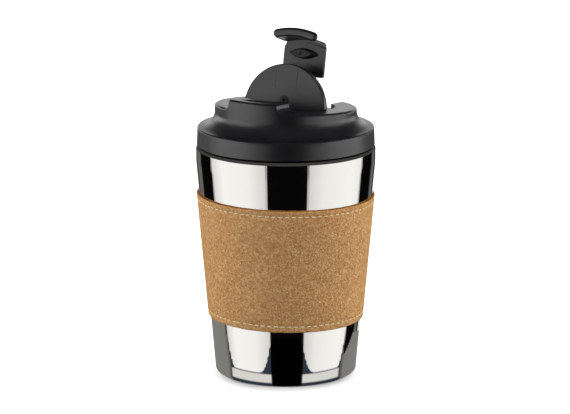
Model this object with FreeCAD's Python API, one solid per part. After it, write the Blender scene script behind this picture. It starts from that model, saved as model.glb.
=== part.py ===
"""Insulated travel cup: double-wall steel tumbler, stitched cork sleeve, screw lid with a flip flap.

Millimetres, +Z up, origin at the centre of the base, drinking side towards -Y.
The lid's top features and the flap share one tilted frame, the deck frame:
its origin is where the lid's axis meets the raised deck, v points to the drinking side, w is the
height above the raised deck, and the whole frame leans by DECK_TILT so that the drinking side is higher.
"""
import FreeCAD, Part
import math
import os

Vec = FreeCAD.Vector
UP = Vec(0, 0, 1)
RIGHT = Vec(1, 0, 0)

# ---- cup -----------------------------------------------------------------------------------------
CUP_HEIGHT = 118.4          # base to rim
BODY_RADIUS = 43.8          # widest outer radius, just below the shoulder
BASE_RADIUS = 34.45         # outer radius of the tapered wall where it meets the base plane
SHEET = 0.5                 # thickness of every drawn steel piece
NECK_STEP = 2.5             # how far the neck stands in from the body
NECK_HEIGHT = 5.4           # shoulder top to rim
NECK_ROUND = 0.5
SHOULDER_ROUND = 1.9
BELLY_BELOW_SHOULDER = 6.1  # straight stretch between the end of the taper and the shoulder
BASE_ROUND = 1.8
FOOT_WIDTH = 2.2            # flat ring that the cup stands on
LINER_GAP = 2.3             # vacuum gap between the two walls
LINER_FLOOR = 9.0           # height of the drinking space's floor
LINER_ROUND = 6.0
LINER_SHOULDER_DROP = 9.0   # shoulder top to the liner's bend below the neck
VACUUM_PLATE_LEVEL = 3.2
EVACUATION_HOLE = 0.8
BEAD_RADIUS = 2.2
BEAD_HEIGHT = 0.9
GETTER_RADIUS = 5.0
GETTER_HEIGHT = 0.9
GETTER_OFFSET = 15.0

# ---- sleeve --------------------------------------------------------------------------------------
SLEEVE_LOW = 28.0
SLEEVE_HEIGHT = 61.0
SLEEVE_TILT = 0.9           # the band sits slightly askew, in degrees
SLEEVE_TILT_AZIMUTH = 120.0
LINING = 0.4
CORK = 0.75
STITCH_INSET = 2.9
STITCH_LENGTH = 2.0
STITCH_PITCH = 3.2
THREAD = 0.5                # sewing thread, across
SEAM_INSET = 2.6            # stitch row to the butt seam at the back

# ---- screw thread --------------------------------------------------------------------------------
STARTS = 3
LEAD = 12.0                 # rise in one turn
RIDGE_SPAN = 100.0          # degrees that each ridge covers
RIDGE_THICK = 1.6
RIDGE_DEPTH = 1.0           # how far the cup's ridge stands in
RIDGE_TIP_GAP = 0.3         # ridge tip to the facing wall
RIDGE_DROP = 11.8           # rim to the centre of each lid ridge's lower end
THREAD_ENGAGE = 0.7         # radial overlap of the ridges

# ---- lid -----------------------------------------------------------------------------------------
RIM_GAP = 1.9               # rim to the lid's flange, filled by the gasket
GASKET_CLEAR = 0.1
SKIRT_CLEAR = 0.5           # neck to the skirt's inner face
SKIRT_WALL = 1.55
SKIRT_DRAFT = 0.3           # the skirt is this much narrower at its top
SKIRT_HEIGHT = 6.8          # below the flange's underside
FLANGE_THICK = 1.9
FLANGE_ROUND = 0.8
COVE_RADIUS = 7.5
FLANGE_EDGE = 1.3           # cove's centre to the skirt's outer face
CAP_WALL = 1.9
COLLAR_WALL = 2.4
COLLAR_LENGTH = 15.0
COLLAR_LEDGE = 0.3

DECK_RISE = 18.5            # rim to the raised deck, on the lid's axis
DECK_TILT = 3.94            # degrees
DECK_STEP = 4.5             # raised deck to low deck
RIM_ROUND = 1.2
RING_WIDTH = 10.4           # low deck, from the recess to the outer wall
BLOCK_HALF_WIDTH = 13.4
BLOCK_FILLET = 3.25         # hollow at the block's foot; the rest of its height is rounded over
RECESS_DEPTH = 15.8         # raised deck to the recess floor
RECESS_WALL = 1.6
NOTCH_HALF_WIDTH = 14.5
NOTCH_DEPTH = 9.0           # raised deck to the notch floor
SLOT_WALL = 0.95            # recess to the drinking slot
SLOT_HALF_LENGTH = 8.8
SLOT_HALF_WIDTH = 3.0
VENT_RADIUS = 0.75
VENT_CENTRE = 4.9

# ---- flap ----------------------------------------------------------------------------------------
FLAP_OPEN = 97.1            # degrees from shut to the rest pose
HINGE_BACK = 2.6            # hinge axis behind the deck frame's origin
HINGE_DEPTH = 10.1          # hinge axis below the raised deck
BARREL_RADIUS = 2.7
PEG_RADIUS = 1.6
PEG_CLEAR = 0.08
PEG_DEPTH = 2.1             # how far a peg goes into the recess wall
PEG_END_GAP = 0.3
DISC_GAP = 1.6              # disc edge to the recess wall
DISC_THICK = 3.4
DISC_LIFT = 0.8             # disc to the recess floor when shut
DISC_BACK = 4.6             # disc behind the deck frame's origin
TONGUE_HALF_WIDTH = 5.8
TONGUE_INSET = 12.05        # tongue's inner end to the disc's edge
TONGUE_GAP = 0.12           # beside the tongue, where it lies in the disc's slot
TONGUE_GROOVE = 0.6         # depth of the line across the tongue's inner end
STEM_THICK = 2.8
HEAD_HALF_WIDTH = 11.3
HEAD_INSET = 5.55           # head's inner end to the disc's edge
HEAD_PLATE = 1.1
HEAD_SEAT = 0.1             # head pad above the raised deck when shut
PAD_THICK = 1.0
PAD_WIDTH = 10.0
PAD_EDGE = 1.3              # pad's outer arc to the lid's outer wall
LIP_HALF_WIDTH = 12.2       # flange, over its round ends
LIP_WALL_HALF_WIDTH = 10.8
LIP_CLEAR = 0.3             # lip to the lid's outer wall at the deck
LIP_FLARE = 1.15             # extra radius at the lip's lower edge, so that it swings past the rim
LIP_WALL = 1.2
LIP_TOP_ROUND = 1.8
LIP_DROP = 11.5             # raised deck to the lip's lower face
LIP_FLANGE = 4.3            # flange's radial width
LIP_FLANGE_THICK = 2.8
LIP_CORNER = 2.2
PLUG_CLEAR = 0.35
PLUG_HEIGHT = 3.4
PLUG_TIP_HALF_LENGTH = 5.6
PLUG_TIP_HALF_WIDTH = 1.9
PLUG_DIMPLE = 0.9           # radius of the hollow in the plug's face
PLUG_STUD = 1.2
PLUG_STUD_DEPTH = 1.3
VENT_PLUG_RADIUS = 2.2
VENT_PLUG_CLEAR = 0.3       # vent plug to the recess floor when shut
VENT_STUD = 1.3
VENT_STUD_DEPTH = 1.6

# ---- places worked out from the sizes above ------------------------------------------------------
NECK_RADIUS = BODY_RADIUS - NECK_STEP
SHOULDER_TOP = CUP_HEIGHT - NECK_HEIGHT
BELLY_TOP = SHOULDER_TOP - SHOULDER_ROUND
TAPER_TOP = BELLY_TOP - BELLY_BELOW_SHOULDER
TAPER = (BODY_RADIUS - BASE_RADIUS) / TAPER_TOP
LINER_NECK = NECK_RADIUS - SHEET
MOUTH_RADIUS = LINER_NECK - SHEET
RIDGE_TIP_CUP = MOUTH_RADIUS - RIDGE_DEPTH
RIDGE_TIP_LID = RIDGE_TIP_CUP + THREAD_ENGAGE
COLLAR_RADIUS = RIDGE_TIP_CUP - 2 * RIDGE_TIP_GAP
RIDGE_BOTTOM = CUP_HEIGHT - RIDGE_DROP
DECK_HEIGHT = CUP_HEIGHT + DECK_RISE
FLANGE_UNDER = CUP_HEIGHT + RIM_GAP
FLANGE_TOP = FLANGE_UNDER + FLANGE_THICK
SKIRT_INNER = NECK_RADIUS + SKIRT_CLEAR
SKIRT_OUTER = SKIRT_INNER + SKIRT_WALL
SKIRT_BOTTOM = FLANGE_UNDER - SKIRT_HEIGHT
COVE_CENTRE_RADIUS = SKIRT_OUTER - FLANGE_EDGE
COVE_CENTRE_LEVEL = FLANGE_TOP + COVE_RADIUS
RING_RADIUS = COVE_CENTRE_RADIUS - COVE_RADIUS
RECESS_RADIUS = RING_RADIUS - RING_WIDTH
SLOT_CENTRE = RECESS_RADIUS + SLOT_WALL + SLOT_HALF_WIDTH
PEG_END = math.sqrt(RECESS_RADIUS ** 2 - HINGE_BACK ** 2) + PEG_DEPTH
SOCKET_END = PEG_END + PEG_END_GAP
DISC_RADIUS = RECESS_RADIUS - DISC_GAP
TONGUE_START = DISC_RADIUS - TONGUE_INSET
HEAD_START = DISC_RADIUS - HEAD_INSET
DISC_UNDER = -RECESS_DEPTH + DISC_LIFT
DISC_TOP = DISC_UNDER + DISC_THICK
PAD_OUTER = RING_RADIUS - PAD_EDGE
PAD_INNER = PAD_OUTER - PAD_WIDTH
PAD_FACE = HEAD_SEAT
PLATE_UNDER = PAD_FACE + PAD_THICK
PLATE_TOP = PLATE_UNDER + HEAD_PLATE
LIP_INNER = RING_RADIUS + LIP_CLEAR


def wall_radius(z):
    """Outer radius of the cup's tapered wall at height z."""
    return BASE_RADIUS + TAPER * z


def rounded_wire(points):
    """Closed wire through (a, b, radius) corners in the XZ plane, each corner rounded by its radius."""
    corners = [Vec(a, 0, b) for a, b, _ in points]
    count = len(points)
    edges = []
    last_end = None
    first_start = None
    for i in range(count):
        here = corners[i]
        radius = points[i][2]
        back = (corners[i - 1] - here).normalize()
        ahead = (corners[(i + 1) % count] - here).normalize()
        if radius > 0:
            half = back.getAngle(ahead) / 2
            reach = radius / math.tan(half)
            start = here + back * reach
            end = here + ahead * reach
            centre = here + (back + ahead).normalize() * (radius / math.sin(half))
            middle = centre + (here - centre).normalize() * radius
        else:
            start = here
            end = here
        if last_end is None:
            first_start = start
        elif (start - last_end).Length > 1e-6:
            edges.append(Part.makeLine(last_end, start))
        if radius > 0:
            edges.append(Part.Arc(start, middle, end).toShape())
        last_end = end
    if (first_start - last_end).Length > 1e-6:
        edges.append(Part.makeLine(last_end, first_start))
    return Part.Wire(edges)


def turned(points):
    """Solid of revolution about Z from rounded (radius, height, corner radius) points."""
    return Part.Face(rounded_wire(points)).revolve(Vec(0, 0, 0), UP, 360)


def tube(outer, inner, low, high):
    """Plain ring about Z."""
    bore = Part.makeCylinder(inner, high - low + 2, Vec(0, 0, low - 1))
    return Part.makeCylinder(outer, high - low, Vec(0, 0, low)).cut(bore)


def block(x0, x1, y0, y1, z0, z1):
    """Box between two corners."""
    return Part.makeBox(x1 - x0, y1 - y0, z1 - z0, Vec(x0, y0, z0))


def on_deck(shape):
    """Carry a shape from the deck frame, where -Y is v and Z is w, to the cup's frame."""
    placed = shape.copy()
    placed.rotate(Vec(0, 0, 0), RIGHT, -DECK_TILT)
    placed.translate(Vec(0, 0, DECK_HEIGHT))
    return placed


def opened(shape):
    """Swing a shape of the flap from shut, in the deck frame, to the rest pose in the cup's frame."""
    swung = shape.copy()
    swung.rotate(Vec(0, HINGE_BACK, -HINGE_DEPTH), -RIGHT, FLAP_OPEN)
    return on_deck(swung)


def rounded_edges(shape, radius, wanted):
    """Fillet the edges that the test picks."""
    edges = [edge for edge in shape.Edges if wanted(edge)]
    return shape.makeFillet(radius, edges) if edges else shape


def lens_wire(half_length, half_width, v, w):
    """Pointed oval across the drinking direction, in the deck frame."""
    left = Vec(-half_length, -v, w)
    right = Vec(half_length, -v, w)
    front = Part.Arc(left, Vec(0, -v - half_width, w), right).toShape()
    back = Part.Arc(right, Vec(0, -v + half_width, w), left).toShape()
    return Part.Wire([front, back])


# ---- cup pieces ----------------------------------------------------------------------------------
def make_outer_shell():
    foot_inner = BASE_RADIUS - BASE_ROUND - FOOT_WIDTH
    inner_round = BASE_ROUND - SHEET
    return turned([
        (foot_inner, 0, 0),
        (BASE_RADIUS, 0, BASE_ROUND),
        (BODY_RADIUS, TAPER_TOP, 40),
        (BODY_RADIUS, SHOULDER_TOP, SHOULDER_ROUND),
        (NECK_RADIUS, SHOULDER_TOP, NECK_ROUND),
        (NECK_RADIUS, CUP_HEIGHT, SHEET * 0.8),
        (LINER_NECK, CUP_HEIGHT, 0),
        (LINER_NECK, SHOULDER_TOP - SHEET, NECK_ROUND + SHEET),
        (BODY_RADIUS - SHEET, SHOULDER_TOP - SHEET, SHOULDER_ROUND - SHEET),
        (BODY_RADIUS - SHEET, TAPER_TOP, 40),
        (wall_radius(SHEET) - SHEET, SHEET, inner_round),
        (foot_inner, SHEET, 0),
    ])


def make_inner_liner():
    shoulder = SHOULDER_TOP - LINER_SHOULDER_DROP
    low = LINER_FLOOR - SHEET
    low_radius = wall_radius(low) - SHEET - LINER_GAP
    shell = turned([
        (0, low, 0),
        (low_radius, low, LINER_ROUND),
        (LINER_NECK, shoulder, 20),
        (LINER_NECK, CUP_HEIGHT, 0),
        (MOUTH_RADIUS, CUP_HEIGHT, SHEET * 0.8),
        (MOUTH_RADIUS, shoulder, 20),
        (low_radius - SHEET, LINER_FLOOR, LINER_ROUND - SHEET),
        (0, LINER_FLOOR, 0),
    ])
    return shell


def thread_ridges(root, tip, first_level, start_angle):
    """Multi-start right-hand thread: one short helical ridge for each start."""
    rise = LEAD * RIDGE_SPAN / 360
    sign = 1 if tip > root else -1
    buried = root - sign * 0.3
    half_root = RIDGE_THICK / 2
    half_tip = RIDGE_THICK / 2 - 0.3
    ridges = []
    for start in range(STARTS):
        path = Part.makeHelix(LEAD, rise, root)
        section = Part.makePolygon([
            Vec(buried, 0, -half_root),
            Vec(root, 0, -half_root),
            Vec(tip, 0, -half_tip),
            Vec(tip, 0, half_tip),
            Vec(root, 0, half_root),
            Vec(buried, 0, half_root),
            Vec(buried, 0, -half_root),
        ])
        ridge = Part.Wire(path.Edges).makePipeShell([section], True, True)
        ridge.rotate(Vec(0, 0, 0), UP, start_angle + 360 * start / STARTS)
        ridge.translate(Vec(0, 0, first_level))
        ridges.append(ridge)
    return ridges


def make_threaded_liner():
    """Liner with its rolled thread; each ridge sits midway between two ridges of the lid."""
    midway = RIDGE_BOTTOM + LEAD / STARTS / 2
    return make_inner_liner().fuse(thread_ridges(MOUTH_RADIUS, RIDGE_TIP_CUP, midway, 0)).removeSplitter()


def make_vacuum_plate():
    low = VACUUM_PLATE_LEVEL
    edge = wall_radius(low) - SHEET
    plate = turned([
        (EVACUATION_HOLE, low, 0),
        (edge, low, 0),
        (edge + TAPER * SHEET, low + SHEET, 0),
        (EVACUATION_HOLE, low + SHEET, 0),
    ])
    return plate


def make_seal_bead():
    low = VACUUM_PLATE_LEVEL - BEAD_HEIGHT
    return turned([
        (0, low, 0),
        (BEAD_RADIUS, low, BEAD_HEIGHT * 0.6),
        (BEAD_RADIUS, VACUUM_PLATE_LEVEL, 0),
        (0, VACUUM_PLATE_LEVEL, 0),
    ])


def make_getter():
    low = VACUUM_PLATE_LEVEL + SHEET
    centre = Vec(GETTER_OFFSET, 0, low)
    return Part.makeCylinder(GETTER_RADIUS, GETTER_HEIGHT, centre)


def make_base_cover():
    """Pressed disc inside the foot ring, with one raised bead around it."""
    edge = BASE_RADIUS - BASE_ROUND - 0.3
    bead = edge * 0.62
    return turned([
        (0, SHEET, 0),
        (bead - 1.2, SHEET, 0),
        (bead - 0.6, SHEET + 0.4, 0),
        (bead + 0.6, SHEET + 0.4, 0),
        (bead + 1.2, SHEET, 0),
        (edge, SHEET, 0),
        (edge, 2 * SHEET, 0),
        (bead + 1.2, 2 * SHEET, 0),
        (bead + 0.6, 2 * SHEET + 0.4, 0),
        (bead - 0.6, 2 * SHEET + 0.4, 0),
        (bead - 1.2, 2 * SHEET, 0),
        (0, 2 * SHEET, 0),
    ])


# ---- sleeve pieces -------------------------------------------------------------------------------
def askew(shape):
    """Tilt a shape about the middle of the sleeve by the sleeve's tilt."""
    angle = math.radians(SLEEVE_TILT_AZIMUTH)
    tilted = shape.copy()
    middle = Vec(0, 0, SLEEVE_LOW + SLEEVE_HEIGHT / 2)
    tilted.rotate(middle, Vec(math.cos(angle), math.sin(angle), 0), SLEEVE_TILT)
    return tilted


def edge_shift(azimuth):
    """How far the askew band stands above its level place at this azimuth, per mm of radius."""
    away = math.radians(azimuth - SLEEVE_TILT_AZIMUTH)
    return math.tan(math.radians(SLEEVE_TILT)) * math.sin(away)


def band(inner_offset, outer_offset):
    """Ring of the sleeve between two offsets from the cup's wall, cut off by the tilted edges."""
    low = SLEEVE_LOW - 3
    high = SLEEVE_LOW + SLEEVE_HEIGHT + 3
    ring = turned([
        (wall_radius(low) + inner_offset, low, 0),
        (wall_radius(low) + outer_offset, low, 0),
        (wall_radius(high) + outer_offset, high, 0),
        (wall_radius(high) + inner_offset, high, 0),
    ])
    reach = 2 * BODY_RADIUS
    window = askew(block(-reach, reach, -reach, reach, SLEEVE_LOW, SLEEVE_LOW + SLEEVE_HEIGHT))
    return ring.common(window)


def make_sleeve_lining():
    return band(0, LINING)


def make_cork_sleeve():
    return band(LINING, LINING + CORK)


def stitch(azimuth, level, upright):
    """One stitch lying on the cork, its inner half sunk in it."""
    shape = Part.makeCylinder(THREAD / 2, STITCH_LENGTH, Vec(0, -STITCH_LENGTH / 2, 0), Vec(0, 1, 0))
    if upright:
        shape.rotate(Vec(0, 0, 0), RIGHT, 90)
        shape.rotate(Vec(0, 0, 0), Vec(0, 1, 0), math.degrees(math.atan(TAPER)))
    shape.translate(Vec(wall_radius(level) + LINING + CORK, 0, level))
    shape.rotate(Vec(0, 0, 0), UP, azimuth)
    return shape


def stitch_row(nominal_level):
    """Row of stitches around the sleeve, parallel to its askew edges."""
    radius = wall_radius(nominal_level) + LINING + CORK
    count = round(2 * math.pi * radius / STITCH_PITCH)
    row = []
    for i in range(count):
        azimuth = 360 * i / count
        row.append(stitch(azimuth, nominal_level + edge_shift(azimuth) * radius, False))
    return Part.makeCompound(row)


def make_bottom_stitching():
    return stitch_row(SLEEVE_LOW + STITCH_INSET)


def make_top_stitching():
    return stitch_row(SLEEVE_LOW + SLEEVE_HEIGHT - STITCH_INSET)


def make_seam_stitching():
    """Two upright rows, one each side of the butt seam at the back."""
    low = SLEEVE_LOW + 2 * STITCH_INSET
    high = SLEEVE_LOW + SLEEVE_HEIGHT - 2 * STITCH_INSET
    count = round((high - low) / STITCH_PITCH)
    rows = []
    for side in (-1, 1):
        for i in range(count + 1):
            level = low + (high - low) * i / count
            turn = math.degrees(SEAM_INSET / wall_radius(level))
            rows.append(stitch(90 + side * turn, level, True))
    return Part.makeCompound(rows)


# ---- lid pieces ----------------------------------------------------------------------------------
def make_neck_gasket():
    low = CUP_HEIGHT + GASKET_CLEAR
    high = FLANGE_UNDER - GASKET_CLEAR
    inner = COLLAR_RADIUS + COLLAR_LEDGE
    outer = NECK_RADIUS + SKIRT_CLEAR / 2
    return turned([
        (inner, low, 0.4),
        (outer, low, 0.4),
        (outer, high, 0.4),
        (inner, high, 0.4),
    ])


def make_threaded_collar():
    low = FLANGE_UNDER - COLLAR_LENGTH
    inner = COLLAR_RADIUS - COLLAR_WALL
    ring = turned([
        (inner, low, 0.5),
        (COLLAR_RADIUS, low, 1.0),
        (COLLAR_RADIUS, FLANGE_UNDER, 0),
        (inner, FLANGE_UNDER, 0),
    ])
    return ring.fuse(thread_ridges(COLLAR_RADIUS, RIDGE_TIP_LID, RIDGE_BOTTOM, 0)).removeSplitter()


def cap_profile():
    """Solid of the cap's outside up to well above the decks, before the decks are cut."""
    high = DECK_HEIGHT + 12
    cove_mid = Vec(COVE_CENTRE_RADIUS - COVE_RADIUS * math.sqrt(0.5), 0,
                   COVE_CENTRE_LEVEL - COVE_RADIUS * math.sqrt(0.5))
    top = SKIRT_OUTER - SKIRT_DRAFT
    bend = FLANGE_ROUND
    shoulder_mid = Vec(top - bend + bend * math.sqrt(0.5), 0, FLANGE_TOP - bend + bend * math.sqrt(0.5))
    edges = [
        Part.makeLine(Vec(0, 0, SKIRT_BOTTOM), Vec(SKIRT_OUTER, 0, SKIRT_BOTTOM)),
        Part.makeLine(Vec(SKIRT_OUTER, 0, SKIRT_BOTTOM), Vec(top, 0, FLANGE_TOP - bend)),
        Part.Arc(Vec(top, 0, FLANGE_TOP - bend), shoulder_mid, Vec(top - bend, 0, FLANGE_TOP)).toShape(),
        Part.makeLine(Vec(top - bend, 0, FLANGE_TOP), Vec(COVE_CENTRE_RADIUS, 0, FLANGE_TOP)),
        Part.Arc(Vec(COVE_CENTRE_RADIUS, 0, FLANGE_TOP), cove_mid,
                 Vec(RING_RADIUS, 0, COVE_CENTRE_LEVEL)).toShape(),
        Part.makeLine(Vec(RING_RADIUS, 0, COVE_CENTRE_LEVEL), Vec(RING_RADIUS, 0, high)),
        Part.makeLine(Vec(RING_RADIUS, 0, high), Vec(0, 0, high)),
        Part.makeLine(Vec(0, 0, high), Vec(0, 0, SKIRT_BOTTOM)),
    ]
    return Part.Face(Part.Wire(edges)).revolve(Vec(0, 0, 0), UP, 360)


def deck_block():
    """Prism of the raised block along the drinking direction, its sides run out on the low deck."""
    near = -RECESS_RADIUS * 0.5
    far = -RING_RADIUS - 6
    low = -DECK_STEP
    foot = BLOCK_HALF_WIDTH + BLOCK_FILLET
    section = rounded_wire([
        (-foot - 3, low - CAP_WALL, 0),
        (foot + 3, low - CAP_WALL, 0),
        (foot + 3, low, 0),
        (BLOCK_HALF_WIDTH, low, BLOCK_FILLET),
        (BLOCK_HALF_WIDTH, 0, DECK_STEP - BLOCK_FILLET),
        (-BLOCK_HALF_WIDTH, 0, DECK_STEP - BLOCK_FILLET),
        (-BLOCK_HALF_WIDTH, low, BLOCK_FILLET),
        (-foot - 3, low, 0),
    ])
    prism = Part.Face(section).extrude(Vec(0, far - near, 0))
    prism.translate(Vec(0, near, 0))
    return on_deck(prism)


def cap_cavity():
    """Hollow between the recess wall and the outer wall, open downwards, with the drinking channel."""
    reach = 2 * SKIRT_OUTER
    ledge = COLLAR_RADIUS - COLLAR_WALL - COLLAR_LEDGE
    channel = RING_RADIUS - CAP_WALL
    hollow = turned([
        (0, SKIRT_BOTTOM - 1, 0),
        (ledge, SKIRT_BOTTOM - 1, 0),
        (ledge, FLANGE_UNDER + 1.3, 1.0),
        (channel, COVE_CENTRE_LEVEL - 2.2, 2.0),
        (channel, DECK_HEIGHT + 10, 0),
        (0, DECK_HEIGHT + 10, 0),
    ])
    low_deck = on_deck(block(-reach, reach, -reach, reach, -reach, -DECK_STEP - CAP_WALL))
    inner_half = BLOCK_HALF_WIDTH - CAP_WALL
    under_block = on_deck(block(-inner_half, inner_half, -reach, -RECESS_RADIUS * 0.5, -reach, -CAP_WALL))
    recess_cup = on_deck(Part.makeCylinder(RECESS_RADIUS + RECESS_WALL, RECESS_DEPTH + CAP_WALL + 8,
                                           Vec(0, 0, -RECESS_DEPTH - CAP_WALL)))
    notch_half = NOTCH_HALF_WIDTH + CAP_WALL
    notch_floor = on_deck(block(-notch_half, notch_half, 0, reach, -NOTCH_DEPTH - CAP_WALL, 8))
    bosses = hinge_bar(PEG_RADIUS + PEG_CLEAR + RECESS_WALL, SOCKET_END + RECESS_WALL)
    return hollow.common(low_deck.fuse(under_block)).cut([recess_cup, notch_floor, bosses])


def hinge_bar(radius, half_length):
    """Cylinder on the hinge axis of the lid."""
    return on_deck(Part.makeCylinder(radius, 2 * half_length, Vec(-half_length, HINGE_BACK, -HINGE_DEPTH),
                                     RIGHT))


def make_lid_cap():
    reach = 2 * SKIRT_OUTER
    outside = cap_profile()
    low_part = outside.common(on_deck(block(-reach, reach, -reach, reach, -3 * reach, -DECK_STEP)))
    raised = outside.common(deck_block())
    cap = low_part.fuse(raised).removeSplitter()
    cap = rounded_edges(cap, RIM_ROUND, is_outer_rim)
    recess = on_deck(Part.makeCylinder(RECESS_RADIUS, RECESS_DEPTH + 20, Vec(0, 0, -RECESS_DEPTH)))
    notch = on_deck(block(-NOTCH_HALF_WIDTH, NOTCH_HALF_WIDTH, RECESS_RADIUS * 0.5, reach,
                          -NOTCH_DEPTH, 20))
    under_flange = turned([
        (0, SKIRT_BOTTOM - 1, 0),
        (SKIRT_INNER, SKIRT_BOTTOM - 1, 0),
        (SKIRT_INNER, FLANGE_UNDER, 0.3),
        (0, FLANGE_UNDER, 0),
    ])
    under_recess = on_deck(Part.makeCylinder(RECESS_RADIUS + RECESS_WALL, 10,
                                             Vec(0, 0, -RECESS_DEPTH - CAP_WALL)))
    slot = on_deck(Part.Face(lens_wire(SLOT_HALF_LENGTH, SLOT_HALF_WIDTH, SLOT_CENTRE, -6)
                             ).extrude(Vec(0, 0, 12)))
    vent = on_deck(Part.makeCylinder(VENT_RADIUS, 10, Vec(0, -VENT_CENTRE, -RECESS_DEPTH - 6)))
    sockets = hinge_bar(PEG_RADIUS + PEG_CLEAR, SOCKET_END)
    cap = cap.cut(under_flange.cut(under_recess))
    cap = cap.cut([cap_cavity(), recess, notch, sockets, slot, vent])
    return cap.removeSplitter()


def is_outer_rim(edge):
    """Edge where a deck meets the cap's outer wall."""
    middle = edge.valueAt((edge.FirstParameter + edge.LastParameter) / 2)
    radius = math.hypot(middle.x, middle.y)
    return not upright(edge) and abs(radius - RING_RADIUS) < 0.05 and middle.z > COVE_CENTRE_LEVEL + 0.2


# ---- flap pieces ---------------------------------------------------------------------------------
def flap_disc_shape():
    disc = Part.makeCylinder(DISC_RADIUS, DISC_THICK, Vec(0, 0, DISC_UNDER))
    disc = rounded_edges(disc, 0.4, lambda edge: edge.Closed)
    reach = 2 * DISC_RADIUS
    disc = disc.cut(block(-reach, reach, DISC_BACK, reach, DISC_UNDER - 1, DISC_TOP + 1))
    width = TONGUE_HALF_WIDTH + TONGUE_GAP
    slot = block(-width, width, -reach, -TONGUE_START, DISC_UNDER - 1, DISC_TOP + 1)
    groove = block(-width, width, -TONGUE_START - 1, -TONGUE_START + TONGUE_GAP,
                   DISC_UNDER - 1, DISC_UNDER + TONGUE_GROOVE)
    return disc.cut([slot, groove])


def make_flap_disc():
    disc = flap_disc_shape()
    half = math.sqrt(DISC_RADIUS ** 2 - (HINGE_BACK + BARREL_RADIUS) ** 2) - 0.3
    axis_start = Vec(-half, HINGE_BACK, -HINGE_DEPTH)
    barrel = Part.makeCylinder(BARREL_RADIUS, 2 * half, axis_start, RIGHT)
    pegs = Part.makeCylinder(PEG_RADIUS, 2 * PEG_END, Vec(-PEG_END, HINGE_BACK, -HINGE_DEPTH), RIGHT)
    seat = Part.makeCylinder(VENT_STUD, VENT_STUD_DEPTH, Vec(0, -VENT_CENTRE, DISC_UNDER))
    return opened(disc.fuse([barrel, pegs]).removeSplitter().cut(seat))


def make_vent_plug():
    low = -RECESS_DEPTH + VENT_PLUG_CLEAR
    plug = turned([
        (VENT_RADIUS, low, 0),
        (VENT_PLUG_RADIUS, low, 0.2),
        (VENT_PLUG_RADIUS, DISC_UNDER, 0),
        (VENT_STUD, DISC_UNDER, 0),
        (VENT_STUD, DISC_UNDER + VENT_STUD_DEPTH, 0),
        (0, DISC_UNDER + VENT_STUD_DEPTH, 0),
        (0, DISC_UNDER + 0.3, 0),
        (VENT_RADIUS, DISC_UNDER + 0.3, 0),
    ])
    plug.translate(Vec(0, -VENT_CENTRE, 0))
    return opened(plug)


def head_outline(half_width, radius, low, high):
    """Slab of the head: straight sides, an arc at the outer end, all four upright corners rounded."""
    bar = block(-half_width, half_width, -radius - 2, -HEAD_START, low, high)
    slab = bar.common(Part.makeCylinder(radius, high - low, Vec(0, 0, low)))

    def outer_corner(edge):
        return upright(edge) and edge.CenterOfMass.y < -radius * 0.7

    def inner_corner(edge):
        return upright(edge) and edge.CenterOfMass.y > -radius * 0.7

    slab = rounded_edges(slab, LIP_CORNER, outer_corner)
    return rounded_edges(slab, 1.0, inner_corner)


def upright(edge):
    """Straight edge along w."""
    ends = [vertex.Point for vertex in edge.Vertexes]
    return len(ends) == 2 and math.hypot(ends[0].x - ends[1].x, ends[0].y - ends[1].y) < 1e-4


def lip_shape():
    """Finger lip: a thin wall down the lid's outside with a round-ended flange at its lower edge."""
    flared = LIP_INNER + LIP_FLARE
    low = -LIP_DROP
    flange_top = low + LIP_FLANGE_THICK
    outer = flared + LIP_FLANGE
    back = LIP_INNER + LIP_WALL
    wall = turned([
        (LIP_INNER, PLATE_UNDER, 0.3),
        (LIP_INNER, -1.0, 6.0),
        (flared - 0.1, low * 0.75, 2.0),
        (flared, low + LIP_FLANGE_THICK / 2, 0),
        (back + LIP_FLARE + 1.2, low + LIP_FLANGE_THICK / 2, 0),
        (back + LIP_FLARE * 0.8, flange_top + 0.4, 1.5),
        (back, 0, 3.0),
        (back, PLATE_TOP, LIP_TOP_ROUND),
        (LIP_INNER - 3.0, PLATE_TOP, 0),
        (LIP_INNER - 3.0, PLATE_UNDER, 0),
    ])
    wall = wall.common(head_outline(LIP_WALL_HALF_WIDTH, outer, low - 1, PLATE_TOP + 1))
    return wall.fuse(lip_flange(flared, low))


def lip_flange(inner, low):
    """Arc-shaped bar with rounded edges, closed by a rounded disc at each end."""
    half = LIP_FLANGE / 2
    edge = LIP_FLANGE_THICK / 2 - 0.05
    high = low + LIP_FLANGE_THICK
    turn = math.degrees(math.asin((LIP_HALF_WIDTH - half) / (inner + half)))
    bar_section = rounded_wire([
        (inner, low, edge),
        (inner + LIP_FLANGE, low, edge),
        (inner + LIP_FLANGE, high, edge),
        (inner, high, edge),
    ])
    bar = Part.Face(bar_section).revolve(Vec(0, 0, 0), UP, 2 * turn)
    bar.rotate(Vec(0, 0, 0), UP, -90 - turn)
    pieces = []
    for side in (-1, 1):
        disc = turned([(0, low, 0), (half, low, edge), (half, high, edge), (0, high, 0)])
        disc.translate(Vec(inner + half, 0, 0))
        disc.rotate(Vec(0, 0, 0), UP, -90 + side * turn)
        pieces.append(disc)
    return bar.fuse(pieces)


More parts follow.
